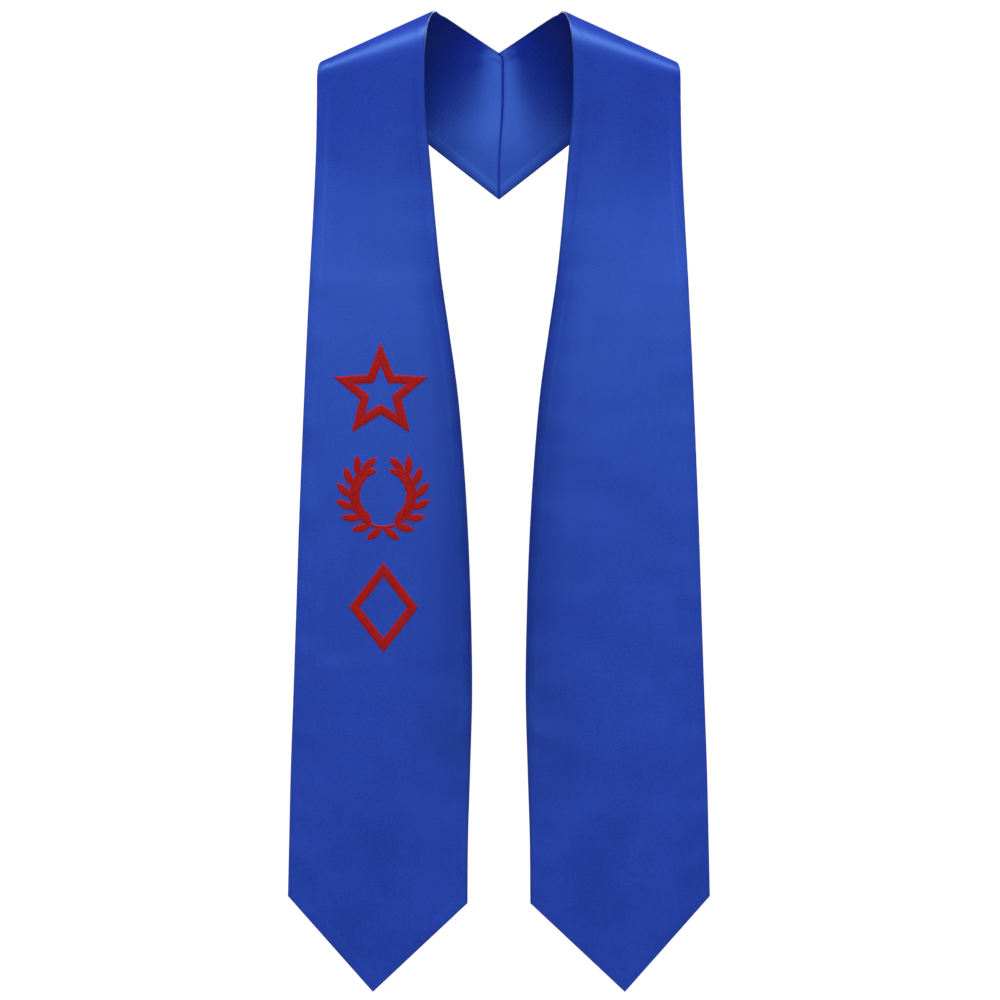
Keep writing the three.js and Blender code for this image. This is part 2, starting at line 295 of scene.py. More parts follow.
# %% [markdown]
# ## Thickness and pressing
#
# A sewn edge has a shape of its own. The satin rolls over to meet the lining, the seam allowance
# inside stands proud beside it, and after 8 mm its end prints through as a faint pressed line.
# At the nape the two faces are sewn to each other, so there the satin only dips into a shallow
# groove, and the four layers of allowance inside push it out a little on both sides.

# %% Half the band's thickness near its edges
HALF_BAND = 0.7 * MM
EDGE_HALF = 0.02 * MM
ROLL = 1.0 * MM
ALLOWANCE = 8.0 * MM
ALLOWANCE_START = (0.2 * ALLOWANCE, 0.4 * ALLOWANCE)
ALLOWANCE_RISE = 0.09 * MM
ALLOWANCE_FADE = 1.2 * MM
NAPE_RISE = 0.2 * MM
NAPE_RISE_WIDTH = 4.0 * MM
NAPE_DIP_TOP = 0.30 * MM
NAPE_DIP_FOOT = 0.14 * MM
NAPE_DIP_FADE = (-0.085, -0.03)
NAPE_DIP_WIDTH = 0.8 * MM
NAPE_FADE = 9.0 * MM


def smooth_step(low, high, value):
    share = np.clip((value - low) / (high - low), 0, 1)
    return share * share * (3 - 2 * share)


def edge_roll(distance):
    """Half the band's thickness, round at the edge and full inside it."""
    share = np.clip(distance / ROLL, 0, 1)
    round_over = lerp(EDGE_HALF, HALF_BAND, np.sqrt(1 - (1 - share) ** 2))
    proud = smooth_step(*ALLOWANCE_START, distance)
    proud *= 1 - smooth_step(ALLOWANCE, ALLOWANCE + ALLOWANCE_FADE, distance)
    return round_over + ALLOWANCE_RISE * proud


def nape_relief(distance):
    """How far the satin is pushed out, or in, beside the nape seam."""
    pile = NAPE_RISE * smooth_step(0, NAPE_RISE_WIDTH, distance)
    pile *= 1 - smooth_step(NAPE_RISE_WIDTH, ALLOWANCE + NAPE_FADE, distance)
    dip = lerp(NAPE_DIP_FOOT, NAPE_DIP_TOP, smooth_step(*NAPE_DIP_FADE, POINTS[..., 2]))
    return pile - dip * (1 - smooth_step(0, NAPE_DIP_WIDTH, distance))


dressed_half = edge_roll(EDGE_DISTANCE) + nape_relief(NAPE_DISTANCE)
HALF_THICKNESS = np.maximum(dressed_half, EDGE_HALF)
print("thickest, mm:", round(2 * HALF_THICKNESS.max() / MM, 2))

# %% [markdown]
# ## Ripples, puckers and curls
#
# Satin shows the smallest unevenness, because its gloss changes with every degree. The whole band
# ripples by a fraction of a millimetre. Small wrinkles gather at the foot, where the band has
# been handled, and the seams pucker the cloth beside them. Sums of waves make all of these, so
# that a face and its lining follow them together. Where the embroidery will be, its dense stitches
# hold the satin flat.

# %% Waves in the cloth
WAVE_SEED = 11

# Each set: how many waves, their length in mm, and the height of each in mm.
RIPPLES = [(5, 260, 0.16), (6, 120, 0.06), (8, 52, 0.026), (8, 27, 0.012)]
WRINKLES = [(8, 44, 0.035), (8, 24, 0.020)]
WRINKLES_FROM = -0.46
WRINKLES_FULL = -0.60

# Each pucker: its height in mm, its length along the seam in mm, and its phase.
PUCKERS = [(0.055, 37, 0.3), (0.04, 23, 2.0), (0.05, 61, 4.4)]
PUCKER_REACH = 9.0 * MM

STITCHED_HALF_WIDTH = 44 * MM
STITCHED_FADE = 16 * MM

uneven = np.random.default_rng(WAVE_SEED)


def wave_table(sets):
    """Waves of any direction in space: height, wave vector and phase."""
    table = []
    for count, length, height in sets:
        for _ in range(count):
            direction = uneven.normal(size=3)
            direction *= 2 * math.pi / (length * MM) / np.linalg.norm(direction)
            table.append((height * MM, direction, uneven.uniform(0, 2 * math.pi)))
    return table


def waves(points, table):
    height = np.zeros(points.shape[:-1])
    for size, direction, phase in table:
        height += size * np.sin(points @ direction + phase)
    return height


def pucker():
    """Short waves along the side seams, strongest a little inside them."""
    reach = SIDE_DISTANCE / PUCKER_REACH
    height = np.zeros_like(reach)
    for size, length, phase in PUCKERS:
        height += size * MM * np.sin(2 * math.pi * ALONG[:, None] / (length * MM) + phase)
    return height * reach * np.exp(1 - reach)


def box_of(nodes):
    corners = np.array([np.array(corner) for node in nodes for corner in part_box(node)])
    return corners.min(axis=0), corners.max(axis=0)


def held_flat(points):
    """1 under the column of ornaments and 0 away from it."""
    low, high = box_of([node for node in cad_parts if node.endswith("embroidery")])
    middle = (low + high) / 2
    held = points[..., 1] < 0
    for axis, reach in ((0, STITCHED_HALF_WIDTH), (2, (high[2] - low[2]) / 2)):
        away = np.abs(points[..., axis] - middle[axis]) - reach
        held = held * (1 - smooth_step(0, STITCHED_FADE, away))
    return held


ripple_table = wave_table(RIPPLES)
wrinkle_table = wave_table(WRINKLES)


def unevenness(points):
    foot = smooth_step(WRINKLES_FROM, WRINKLES_FULL, points[..., 2])
    free = waves(points, ripple_table) + foot * waves(points, wrinkle_table) + pucker()
    return free * (1 - held_flat(points))


print("ripples:", len(ripple_table), "wrinkles:", len(wrinkle_table), "puckers:", len(PUCKERS))

# %% [markdown]
# Three broader forms are set apart, because each has its own place. The inner edge of the hanging
# panel curls back towards the chest. Its outer half sinks in a little below the shoulder and comes
# forwards again to the breast, where it tilts up into the light. And the nape seam leans a few
# millimetres to one side near its top.

# %% Curl, hollow and the lean of the nape seam
CURL = 4.0 * MM
CURL_WIDTH = 34 * MM
CURL_TOP = (-0.15, -0.22)
CURL_FOOT = (-0.62, -0.45)
HOLLOW = 1.3 * MM
HOLLOW_TOP = -0.03
HOLLOW_DEEPEST = -0.125
HOLLOW_FOOT = -0.25
HOLLOW_REACH = 0.62
SEAM_LEAN = 3.2 * MM
SEAM_LEAN_TOP = -0.006
SEAM_LEAN_FOOT = (-0.035, -0.10)
SEAM_LEAN_REACH = 22 * MM


def backward():
    """How far each point of the hanging panel moves towards the chest."""
    z = POINTS[..., 2]
    from_inner = (1 - SHARES) * WIDTHS[:, None]
    edge = np.clip(1 - from_inner / CURL_WIDTH, 0, 1) ** 2
    curl = CURL * edge * smooth_step(*CURL_FOOT, z) * smooth_step(*CURL_TOP, z)
    sunken = smooth_step(HOLLOW_TOP, HOLLOW_DEEPEST, z)
    sunken *= smooth_step(HOLLOW_FOOT, HOLLOW_DEEPEST, z)
    hollow = HOLLOW * sunken * smooth_step(HOLLOW_REACH, 0, SHARES)
    return (curl + hollow) * (POINTS[..., 1] < 0)


def seam_lean(points):
    """How far the cloth at the nape lies towards +X."""
    z = points[..., 2]
    lean = smooth_step(0, SEAM_LEAN_TOP, z) * (1 - smooth_step(*SEAM_LEAN_FOOT, z))
    beside = np.exp(-np.abs(points[..., 0]) / SEAM_LEAN_REACH)
    return SEAM_LEAN * lean * beside * (points[..., 1] > 0)


BACKWARD = backward()
print("back by up to", round(BACKWARD.max() / MM, 2), "mm")

# %% [markdown]
# ## Four sheets of satin
#
# A sheet starts as a flat grid, like cloth on the cutting table, and every vertex is then carried
# to its place on the form. Cloth simulation could do this too, but it would blur the exact
# outline. Solidify then gives the sheet its real thickness. One UV map keeps the place of every
# thread on the flat cut, in metres, so that the weave runs along the band. A second one keeps the
# distance from the band's inner edge, along which the material paints shade.

# %% Lay one sheet on the form
SATIN = 0.28 * MM


def new_piece(name):
    """Takes the active object as a new piece with a name of its own."""
    piece = bpy.context.object
    piece.name = piece.data.name = name
    return piece


def flat_grid(name, rows, columns):
    """A flat grid whose vertices come row by row."""
    bpy.ops.object.select_all(action="DESELECT")
    bpy.ops.mesh.primitive_grid_add(x_subdivisions=columns - 1, y_subdivisions=rows - 1, size=1)
    return new_piece(name)


def place_vertices(piece, points):
    piece.data.vertices.foreach_set("co", points.astype(np.float32).ravel())
    piece.data.update()


def lay_uv(piece, name, places):
    """Gives every vertex two numbers in metres, in a UV map of its own."""
    corners = np.empty(len(piece.data.loops), dtype=np.int32)
    piece.data.loops.foreach_get("vertex_index", corners)
    layer = piece.data.uv_layers.new(name=name)
    layer.data.foreach_set("uv", places.reshape(-1, 2)[corners].astype(np.float32).ravel())


def face_outwards(piece, wanted):
    """Turns the sheet over if its first face looks away from the wanted side."""
    if piece.data.polygons[0].normal.dot(Vector(wanted)) < 0:
        bpy.ops.object.mode_set(mode="EDIT")
        bpy.ops.mesh.select_all(action="SELECT")
        bpy.ops.mesh.flip_normals()
        bpy.ops.object.mode_set(mode="OBJECT")


def thicken(piece, thickness):
    wall = piece.modifiers.new("wall", "SOLIDIFY")
    wall.thickness = thickness
    wall.offset = -1
    bpy.ops.object.modifier_apply(modifier=wall.name)


def satin_sheet(name, side, layer):
    """side is -1 for the wearer's right band, and layer is 1 for the face and -1 for the lining."""
    mirror = np.array([side, 1, 1])
    base = POINTS * mirror
    lift = layer * HALF_THICKNESS + unevenness(base)
    placed = base + NORMALS * mirror * lift[..., None]
    placed[..., 1] += BACKWARD
    placed[..., 0] += seam_lean(placed)
    sheet = flat_grid(name, *SHARES.shape)
    place_vertices(sheet, placed)
    across = (SHARES - POINT_PLACE) * WIDTHS[:, None]
    along = np.broadcast_to(ALONG[:, None], across.shape)
    sheet.data.uv_layers.remove(sheet.data.uv_layers[0])
    lay_uv(sheet, "cloth", np.stack([side * across, along], axis=-1))
    lay_uv(sheet, "inner_edge", np.stack([(1 - SHARES) * WIDTHS[:, None], along], axis=-1))
    face_outwards(sheet, NORMALS[0, 0] * mirror * layer)
    thicken(sheet, SATIN)
    bpy.ops.object.shade_smooth()
    print(name, len(sheet.data.polygons), "faces")
    return sheet


right_face = satin_sheet("right_satin_face", -1, 1)
right_lining = satin_sheet("right_satin_lining", -1, -1)
left_face = satin_sheet("left_satin_face", 1, 1)
left_lining = satin_sheet("left_satin_lining", 1, -1)

# %% [markdown]
# ## Satin stitch
#
# Machine embroidery lays thread side by side across a stroke, so a stroke is a low ridge, crowned
# in its middle and a little uneven where the needle turned. It could be built thread by thread,
# but the threads are finer than the eye resolves here. So the ridge is modelled, and its threads
# are left to the material. Each ornament is drawn flat on the floor plane, like a drawing on
# paper, and is stood up against the satin when it is finished.

# %% Sizes of the needlework
ORNAMENT_HEIGHT = 73 * MM
STROKE = 7 * MM
STITCH = 0.9 * MM
STITCH_EDGE = 0.35 * MM
STITCH_JITTER = 0.13 * MM
STITCH_SINK = 0.1 * MM
STITCH_SEED = 7
CREASE_ANGLE = math.radians(50)

# Each step of the crown: how far in from the last one, and how far up.
CROWN_STEPS = [(0.5 * MM, 0.22 * MM), (0.9 * MM, 0.17 * MM), (1.1 * MM, 0.06 * MM)]
stroke_height = STITCH_EDGE + sum(up for _, up in CROWN_STEPS)
print("height of a stroke, mm:", round(stroke_height / MM, 2))

# %% [markdown]
# A few helpers keep the modelling readable. They select parts of a mesh by a test on their place
# or their normal, because there is no mouse to click with.

# %% Selecting in code
NEAR = 0.1 * MM
WELD = 0.01 * MM
UPWARDS = 0.7


def edit(piece, wanted=None):
    """Enters edit mode with everything selected, or only the vertices that pass the test."""
    bpy.ops.object.mode_set(mode="EDIT")
    bpy.ops.mesh.select_mode(type="VERT")
    bpy.ops.mesh.select_all(action="SELECT")
    if wanted:
        shape = bmesh.from_edit_mesh(piece.data)
        for vertex in shape.verts:
            vertex.select = bool(wanted(vertex))
        shape.select_flush_mode()
        bmesh.update_edit_mesh(piece.data)


def select_faces(piece, wanted):
    """In edit mode, selects only the faces that pass the test."""
    bpy.ops.mesh.select_mode(type="FACE")
    shape = bmesh.from_edit_mesh(piece.data)
    for face in shape.faces:
        face.select = bool(wanted(face))
    shape.select_flush_mode()
    bmesh.update_edit_mesh(piece.data)


def back_to_object():
    bpy.ops.object.mode_set(mode="OBJECT")


def looks_up(face):
    return face.normal.z > UPWARDS


print("helpers ready")

# %% [markdown]
# The threads run across a stroke, so the material must know the stroke's direction. A UV map
# tells it: the first number is the place along the stroke in metres, the second the place across.

# %% Threads and their directions


def lay_threads(piece, place_at):
    """place_at takes a face's centre and a vertex's place, and gives its place along and across."""
    layer = piece.data.uv_layers[0] if piece.data.uv_layers else piece.data.uv_layers.new()
    layer.name = "cloth"
    for face in piece.data.polygons:
        for loop in face.loop_indices:
            vertex = piece.data.vertices[piece.data.loops[loop].vertex_index]
            layer.data[loop].uv = place_at(face.center, vertex.co)


def stand_on_satin(piece, node, low):
    """Stands a finished drawing up at its solid's place.

    low is how far the drawing reaches below its own centre.
    """
    corners = [Vector(corner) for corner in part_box(node)]
    middle = (corners[0] + corners[1]) / 2
    piece.rotation_euler.x = math.pi / 2
    piece.location = (middle.x, -PANEL_DEPTH - HALF_BAND + STITCH_SINK, corners[0].z + low)
    bpy.ops.object.transform_apply(location=True, rotation=True, scale=True)
    bpy.ops.object.shade_smooth_by_angle(angle=CREASE_ANGLE)


print("threads across strokes")

# %% [markdown]
# ## The star and the lozenge
#
# Both are one closed stroke. A circle with few corners gives the outline, and for the star every
# second corner is drawn in. An inset makes the stroke, and the middle is deleted. The flat ring
# gets a thickness, and its upper side rises to a crown in three more insets. An inset needs long
# sides to meet well in the corners, so the sides are cut into steps as long as a stitch only
# after that. Last, the walls are shaken a little.

# %% One closed stroke
STAR_POINTS = 5
STAR_WAIST = 0.44
LOZENGE_WIDTH = 56 * MM


def outline(name, corners, radius):
    """A ring of corners round the origin. The first one points along +Y."""
    bpy.ops.object.select_all(action="DESELECT")
    bpy.ops.mesh.primitive_circle_add(vertices=corners, radius=radius)
    return new_piece(name)


def pull_corners(piece, factors):
    """Scales every second corner of an outline, starting with the second."""
    edit(piece, lambda vertex: vertex.index % 2 == 1)
    bpy.ops.transform.resize(value=(*factors, 1), center_override=(0, 0, 0))
    back_to_object()


def satin_ring(piece):
    """Turns an outline into a ring with a flat back, short walls and a crown."""
    edit(piece)
    bpy.ops.mesh.edge_face_add()
    bpy.ops.mesh.inset(thickness=STROKE, use_even_offset=True)
    bpy.ops.mesh.delete(type="FACE")
    back_to_object()
    face_outwards(piece, (0, 0, 1))
    wall = piece.modifiers.new("wall", "SOLIDIFY")
    wall.thickness = STITCH_EDGE
    wall.offset = 1
    bpy.ops.object.modifier_apply(modifier=wall.name)
    edit(piece)
    select_faces(piece, looks_up)
    for inwards, up in CROWN_STEPS:
        bpy.ops.mesh.inset(thickness=inwards, depth=up, use_even_offset=True)
    back_to_object()


def cut_into_stitches(piece):
    """Cuts every edge that runs along a side. Those that cross a corner point at the centre."""
    edit(piece)
    bpy.ops.mesh.select_mode(type="EDGE")
    shape = bmesh.from_edit_mesh(piece.data)
    longest = 0.0
    for edge in shape.edges:
        start, end = (vertex.co.xy for vertex in edge.verts)
        edge.select = abs(start.cross(end)) > 0.001 * start.length * end.length
        longest = max(longest, edge.calc_length())
    bmesh.update_edit_mesh(piece.data)
    bpy.ops.mesh.subdivide(number_cuts=round(longest / STITCH), quadcorner="STRAIGHT_CUT")
    back_to_object()


def shake_walls(piece):
    """Moves the walls' vertices a little, where the needle turned."""
    edit(piece, lambda vertex: vertex.co.z < STITCH_EDGE + NEAR)
    bpy.ops.transform.vertex_random(offset=STITCH_JITTER, uniform=0, normal=0, seed=STITCH_SEED)
    back_to_object()


def along_sides(corners):
    """The place along and across the side that a face of a ring with these corners belongs to."""
    sector = 2 * math.pi / len(corners)

    def place_at(centre, place):
        angle = math.atan2(centre.x, centre.y) % (2 * math.pi)
        side = int(angle / sector)
        start = corners[side]
        along = (corners[(side + 1) % len(corners)] - start).normalized()
        away = place.xy - start
        return away.dot(along), away.cross(along)

    return place_at


print("crown steps:", len(CROWN_STEPS))

# %% The star
tip_radius = ORNAMENT_HEIGHT / (1 + math.cos(math.pi / STAR_POINTS))


def ring_corners(radii):
    """The same corners as numbers, clockwise from +Y."""
    angles = [k * 2 * math.pi / len(radii) for k in range(len(radii))]
    return [Vector((r * math.sin(a), r * math.cos(a))) for r, a in zip(radii, angles)]


star = outline("star_stitches", 2 * STAR_POINTS, tip_radius)
pull_corners(star, (STAR_WAIST, STAR_WAIST))
satin_ring(star)
cut_into_stitches(star)
shake_walls(star)
lay_threads(star, along_sides(ring_corners([tip_radius, tip_radius * STAR_WAIST] * STAR_POINTS)))
stand_on_satin(star, "star_embroidery", tip_radius * math.cos(math.pi / STAR_POINTS))
print("star:", len(star.data.polygons), "faces")

# %% The lozenge
lozenge_radii = [ORNAMENT_HEIGHT / 2, LOZENGE_WIDTH / 2] * 2
lozenge = outline("lozenge_stitches", 4, ORNAMENT_HEIGHT / 2)
pull_corners(lozenge, (LOZENGE_WIDTH / ORNAMENT_HEIGHT, 1))
satin_ring(lozenge)
cut_into_stitches(lozenge)
shake_walls(lozenge)
lay_threads(lozenge, along_sides(ring_corners(lozenge_radii)))
stand_on_satin(lozenge, "lozenge_embroidery", ORNAMENT_HEIGHT / 2)
print("lozenge:", len(lozenge.data.polygons), "faces")

# %% [markdown]
# ## The wreath
#
# The wreath is made of short strokes. One leaf is modelled once. It starts as a small grid. Its
# rows are raised to a crown with a groove along the midrib, and its columns are drawn in towards
# both ends. The leaf is then copied along two curved stems, which are an oval profile spun
# about the wreath's centre.

# %% One leaf
WREATH_LEAF_LENGTH = 17 * MM
WREATH_LEAF_WIDTH = 6.4 * MM
LEAF_COLUMNS = 16
LEAF_BACK = 0.25 * MM
LEAF_END_HEIGHT = 0.3
THREAD_SLANT = 0.9

# Rows of a leaf: their places from the midrib to the edge as shares, and their heights.
LEAF_ROWS = [(0, 0.45 * MM), (1 / 3, 0.78 * MM), (2 / 3, 0.66 * MM), (1, 0.3 * MM)]

bpy.ops.object.select_all(action="DESELECT")
bpy.ops.mesh.primitive_grid_add(
    x_subdivisions=LEAF_COLUMNS,
    y_subdivisions=2 * len(LEAF_ROWS) - 2,
    size=1,
)
leaf = new_piece("leaf")
leaf.dimensions = (WREATH_LEAF_LENGTH, WREATH_LEAF_WIDTH, 0)
leaf.location.x = WREATH_LEAF_LENGTH / 2
bpy.ops.object.transform_apply(location=True, rotation=True, scale=True)

for share, height in LEAF_ROWS:
    row = share * WREATH_LEAF_WIDTH / 2
    edit(leaf, lambda vertex: abs(abs(vertex.co.y) - row) < NEAR)
    bpy.ops.transform.translate(value=(0, 0, height))
    back_to_object()

for column in range(LEAF_COLUMNS + 1):
    s = column / LEAF_COLUMNS
    x = s * WREATH_LEAF_LENGTH
    taper = 4 * s * (1 - s)
    lower = lerp(LEAF_END_HEIGHT, 1, math.sqrt(taper))
    edit(leaf, lambda vertex: abs(vertex.co.x - x) < NEAR)
    bpy.ops.transform.resize(value=(1, taper, lower), center_override=(x, 0, 0))
    back_to_object()

edit(leaf)
bpy.ops.mesh.remove_doubles(threshold=WELD)
back_to_object()
lay_threads(leaf, lambda centre, place: (place.x + THREAD_SLANT * abs(place.y), place.y))
print("leaf:", len(leaf.data.polygons), "faces")

# %% [markdown]
# The leaf is still an open sheet. Solidify closes it with a back that sinks into the satin, so
# that no gap shows under its edge.

# %% Close the leaf
leaf.select_set(True)
bpy.context.view_layer.objects.active = leaf
back = leaf.modifiers.new("back", "SOLIDIFY")
back.thickness = LEAF_BACK
back.offset = -1
bpy.ops.object.modifier_apply(modifier=back.name)
print("leaf with its back:", len(leaf.data.polygons), "faces")

# %% The stems
WREATH_STEM_RADIUS = 26 * MM
WREATH_STEM_WIDTH = 2.6 * MM
WREATH_GAP = math.radians(32)
STEM_HEIGHT = 0.6 * MM
STEM_SIDES = 12
STEM_STEPS = 96
TOP_HALF_WIDTH = 0.3 * WREATH_STEM_RADIUS

sweep = 2 * (math.pi - WREATH_GAP)
bpy.ops.object.select_all(action="DESELECT")
bpy.ops.mesh.primitive_circle_add(vertices=STEM_SIDES, radius=WREATH_STEM_WIDTH / 2)
wreath = new_piece("wreath_stitches")
flatter = STEM_HEIGHT / (WREATH_STEM_WIDTH / 2)
edit(wreath)
bpy.ops.transform.resize(value=(1, flatter, 1), center_override=(0, 0, 0))
back_to_object()
wreath.rotation_euler = (math.pi / 2, 0, math.pi / 2 + WREATH_GAP)
wreath.location.x = -WREATH_STEM_RADIUS * math.sin(WREATH_GAP)
wreath.location.y = WREATH_STEM_RADIUS * math.cos(WREATH_GAP)
bpy.ops.object.transform_apply(location=True, rotation=True, scale=True)
edit(wreath)
bpy.ops.mesh.spin(steps=STEM_STEPS, angle=sweep, center=(0, 0, 0), axis=(0, 0, -1))
bpy.ops.mesh.select_all(action="DESELECT")
bpy.ops.mesh.select_mode(type="EDGE")
bpy.ops.mesh.select_non_manifold()
bpy.ops.mesh.fill_holes(sides=0)
bpy.ops.mesh.select_all(action="SELECT")
bpy.ops.mesh.normals_make_consistent(inside=False)
back_to_object()


def round_the_ring(centre, place):
    """The place along the stem, counted clockwise from the top, and across it."""
    angle = math.atan2(centre.x, centre.y) % (2 * math.pi)
    turned = math.atan2(place.x, place.y) % (2 * math.pi)
    return WREATH_STEM_RADIUS * (angle if abs(turned - angle) > 1 else turned), place.xy.length


lay_threads(wreath, round_the_ring)
middle = [vertex.co.y for vertex in wreath.data.vertices if abs(vertex.co.x) < TOP_HALF_WIDTH]
print("stems:", len(wreath.data.polygons), "faces, open at the top:", max(middle) < 0)

# %% [markdown]
# The leaves stand in pairs along each stem, one turned inwards and one outwards. One more leaf
# closes each stem at its tip, and one grows from the foot where the stems meet.

# %% Leaves along the stems
WREATH_LEAF_TURN = math.radians(37)
WREATH_LEAF_PAIRS = 6
WREATH_TIE_TURN = math.radians(52)


def leaf_places():
    """The angle round the wreath and the direction of growth, for every leaf."""
    bottom = -math.pi / 2
    step = (math.pi - WREATH_GAP) / (WREATH_LEAF_PAIRS + 1)
    for branch in (-1, 1):
        for pair in range(1, WREATH_LEAF_PAIRS + 1):
            angle = bottom + branch * step * pair
            for turn in (-WREATH_LEAF_TURN, WREATH_LEAF_TURN):
                yield angle, angle + branch * math.pi / 2 + turn
        tip = bottom + branch * step * (WREATH_LEAF_PAIRS + 0.5)
        yield tip, tip + branch * math.pi / 2
        yield bottom, bottom + branch * WREATH_TIE_TURN


leaves = []
for angle, growth in leaf_places():
    bpy.ops.object.select_all(action="DESELECT")
    leaf.select_set(True)
    bpy.context.view_layer.objects.active = leaf
    bpy.ops.object.duplicate()
    copy = bpy.context.object
    copy.location = (WREATH_STEM_RADIUS * math.cos(angle), WREATH_STEM_RADIUS * math.sin(angle), 0)
    copy.rotation_euler.z = growth
    bpy.ops.object.transform_apply(location=True, rotation=True, scale=True)
    leaves.append(copy)

bpy.data.objects.remove(leaf)
bpy.ops.object.select_all(action="DESELECT")
for piece in leaves + [wreath]:
    piece.select_set(True)
bpy.context.view_layer.objects.active = wreath
bpy.ops.object.join()
lowest = min(vertex.co.y for vertex in wreath.data.vertices)
stand_on_satin(wreath, "wreath_embroidery", -lowest)
print("wreath:", len(wreath.data.polygons), "faces,", len(leaves), "leaves")

# %% [markdown]
# ## Writing materials as sums
#
# A material is a graph of nodes, but a formula is easier to read than twenty wires. A small class
# wraps an output socket, so that ordinary arithmetic adds the Math nodes, and one method adds any
# other node.

# %% Wires and shaders


class Wire:
    """An output socket. Arithmetic on it adds Math nodes."""

    def __init__(self, shader, socket):
        self.shader = shader
        self.socket = socket

    def math(self, operation, first, second):
        return self.shader.add("ShaderNodeMath", {"operation": operation}, {0: first, 1: second})

    def __add__(self, other):
        return self.math("ADD", self, other)

    def __sub__(self, other):
        return self.math("SUBTRACT", self, other)

    def __mul__(self, other):
        return self.math("MULTIPLY", self, other)


class Shader:
    """A material under construction."""

    def __init__(self, name):
        self.material = bpy.data.materials.new(name)
        self.material.use_nodes = True
        self.tree = self.material.node_tree
        self.tree.nodes.clear()

    def add(self, kind, settings=(), sockets=(), output=0):
        """Adds a node, with its settings first and then its sockets' values or wires."""
        node = self.tree.nodes.new(kind)
        for key, value in dict(settings).items():
            setattr(node, key, value)
        for key, value in dict(sockets).items():
            if isinstance(value, Wire):
                self.tree.links.new(value.socket, node.inputs[key])
            else:
                node.inputs[key].default_value = value
        return Wire(self, node.outputs[output]) if node.outputs else None

    def noise(self, place, scale, detail=2.0, roughness=0.5):
        sockets = {"Vector": place, "Scale": scale, "Detail": detail, "Roughness": roughness}
        return self.add("ShaderNodeTexNoise", {}, sockets)

    def stretched(self, place, scales):
        return self.add("ShaderNodeMapping", {}, {"Vector": place, "Scale": scales})

    def mix(self, share, first, second):
        settings = {"data_type": "RGBA", "clamp_factor": True}
        return self.add("ShaderNodeMix", settings, {0: share, 6: first, 7: second}, output=2)

    def ramp(self, value, start, end):
        """0 at the start, 1 at the end and smooth between them."""
        settings = {"interpolation_type": "SMOOTHSTEP", "clamp": True}
        sockets = {0: value, 1: start, 2: end, 3: 0.0, 4: 1.0}
        return self.add("ShaderNodeMapRange", settings, sockets)

    def bump(self, height, distance, strength):
        sockets = {"Height": height, "Distance": distance, "Strength": strength}
        return self.add("ShaderNodeBump", {}, sockets)

    def finish(self, sockets):
        surface = self.add("ShaderNodeBsdfPrincipled", {}, sockets)
        self.add("ShaderNodeOutputMaterial", {}, {"Surface": surface})
        return self.material


print("shader helper ready")

# %% [markdown]
# ## The satin
#
# Satin is woven so that long floats of thread lie along the cloth. They give it a broad, soft
# gloss and faint streaks along the warp. The gloss is tinted, because it comes from inside the
# dyed thread. The colour is nearly even. Slow blotches show where the pressing left the floats
# lying a little differently, and a fine grain shows the single floats. Along the inner edge of
# the hanging panels runs a darker strip with a scalloped border, which is painted shade for the
# cloth curling and puckering away there. The last millimetres of the whole inner edge are the
# darkest, a painted shadow line along the edge.

# %% Satin material
# Sizes of the patterns, as repeats in a metre across and along the cloth.
FLOATS_PER_M = (2400.0, 300.0, 1.0)
STREAKS_PER_M = (420.0, 9.0, 1.0)
GRAINS_PER_M = (400.0, 640.0, 1.0)
# The scallops are the border of the painted shade strip along the inner edge.
SHADE_SCALLOPS_PER_M = (0.0, 30.0, 1.0)
BLOTCHES_PER_M = 24.0

# Where the cloth is darker: distances from the inner edge or the foot, and a range of blotches.
# The strip along the inner edge and the edge line are painted shade.
# The strip along the inner edge is painted shade, faded in above the foot and out below the
# shoulder.
SHADE_STRIP_WIDTH = 62 * MM
SHADE_STRIP_FOOT = (40 * MM, 190 * MM)
SHADE_STRIP_TOP = (590 * MM, 420 * MM)
SHADE_SCALLOP = (9 * MM, 26 * MM)
HANDLED_FOOT = (260 * MM, 90 * MM)
HANDLED_BLOTCH = (0.62, 0.34)
# A painted shadow line over the last 3 mm of the inner edge, full from 0.6 mm outwards to the edge.
PAINTED_EDGE_SHADE = (3.0 * MM, 0.6 * MM)

# How much darker each of these is. The deep colour times SHADOW is the darkest.
SHADOW = 0.72
# The strip, its scallops and the edge line are painted shade.
SHADE_STRIP_DARK = 0.55
SHADE_SCALLOP_DARK = 0.45
HANDLED_DARK = 0.1
# The painted shadow line along the inner edge.
PAINTED_EDGE_SHADE_DARK = 0.7

# How far each pattern carries the colour from deep to bright, about an even mean.
MEAN = 0.5
BLOTCH_TONE = 1.3
STREAK_TONE = 0.3
HANDLED_SPECKLE = 0.8
TONE_SHIFT = 0.3

# How much each pattern changes the roughness, and its share of the relief.
BLOTCH_ROUGH = 0.1
STREAK_ROUGH = 0.04
FLOAT_RELIEF = 0.4
STREAK_RELIEF = 0.2
GRAIN_RELIEF = 0.4
SATIN_RELIEF = 0.03 * MM
SATIN_BUMP = 0.5


